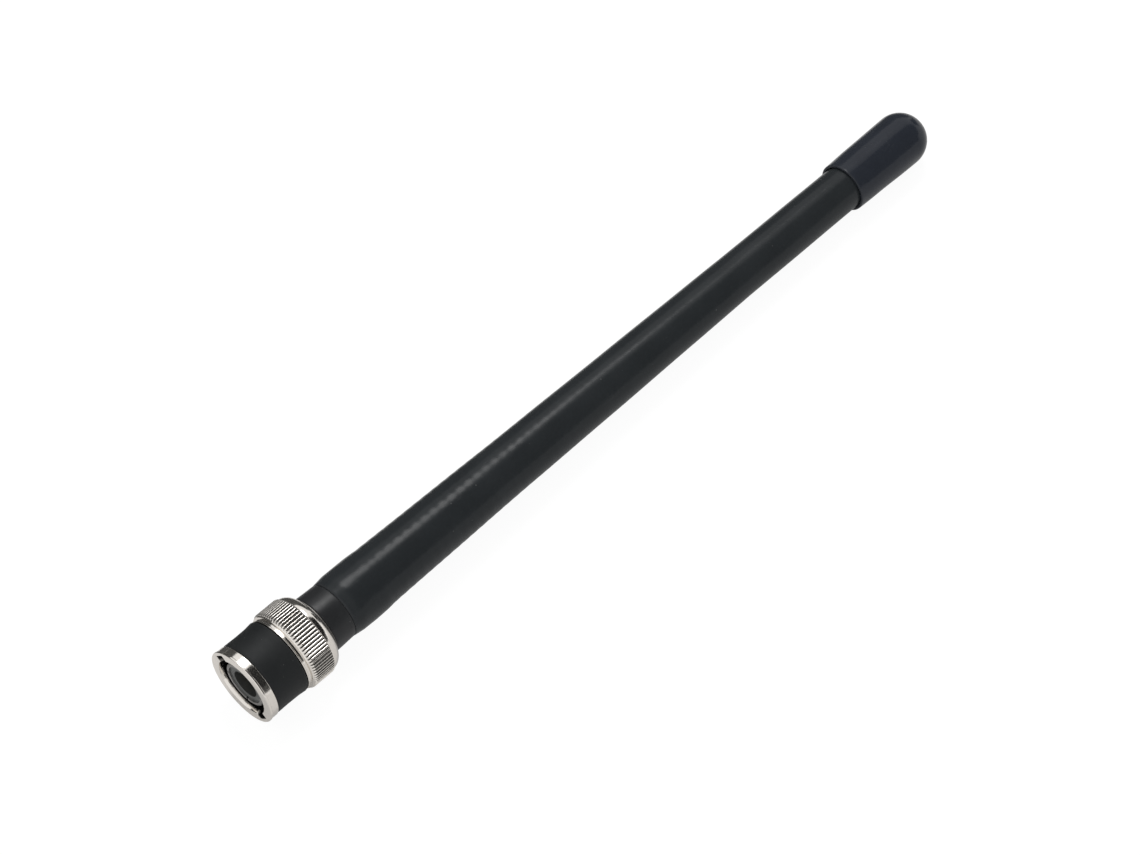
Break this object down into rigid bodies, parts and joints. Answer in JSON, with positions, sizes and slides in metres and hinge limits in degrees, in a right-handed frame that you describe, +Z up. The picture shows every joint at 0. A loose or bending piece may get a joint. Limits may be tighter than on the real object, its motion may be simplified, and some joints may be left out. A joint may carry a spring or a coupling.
{
  "type": "handheld radio antenna",
  "caption": "Flexible whip antenna with a quick-turn bayonet plug, knurled coupling nut, tapered shrink jacket over a helical coil, and a domed end cap.",
  "frame": {"origin": "centre of the plug's mouth, on the axis, in the plane of the coupling nut's front face", "axes": "+X along the whip from the plug to the tip; +Z up as the antenna lies on a table; +Y completes the frame"},
  "size_m": [0.1615, 0.0142, 0.0142],
  "materials": {
    "nickel": "bright nickel plate, turned and lightly polished",
    "sleeve_rubber": "matt black rubber",
    "spring_steel": "plain spring steel",
    "contact_nickel": "satin nickel plate on a spring contact",
    "silicone": "matt silicone",
    "insulator": "waxy white insulator resin",
    "gold_plate": "thin gold plate",
    "neck_plastic": "satin black moulded plastic",
    "brass": "turned brass",
    "shrink_tube": "satin black shrink tube with soft ripples",
    "copper_wire": "bare copper-clad wire",
    "core_plastic": "natural plastic rod",
    "vinyl": "smooth dipped vinyl with a soft sheen"
  },
  "bodies": {
    "whip": {"plug_body": "nickel", "outer_contact": "contact_nickel", "face_gasket": "silicone", "front_insulator": "insulator", "centre_pin": "gold_plate", "rear_insulator": "insulator", "base_collar": "neck_plastic", "feed_stud": "brass", "flare_ring": "shrink_tube", "helical_coil": "copper_wire", "coil_core": "core_plastic", "whip_jacket": "shrink_tube", "end_cap": "vinyl", "wave_washer": "spring_steel"},
    "thrust_ring": {"thrust_washer": "spring_steel"},
    "nut": {"coupling_nut": "nickel", "nut_sleeve": "sleeve_rubber"}
  },
  "joints": [
    {"name": "nut_spring_slide", "type": "slide", "parent": "whip", "child": "thrust_ring", "axis": [-1, 0, 0], "range_m": [0, 0.0006], "stiffness_N_per_m": 400, "springref_m": -0.002, "deforming": ["wave_washer"]},
    {"name": "nut_turn", "type": "hinge", "parent": "thrust_ring", "child": "nut", "pos_m": [0.0121, 0, 0], "axis": [1, 0, 0], "continuous": true}
  ]
}
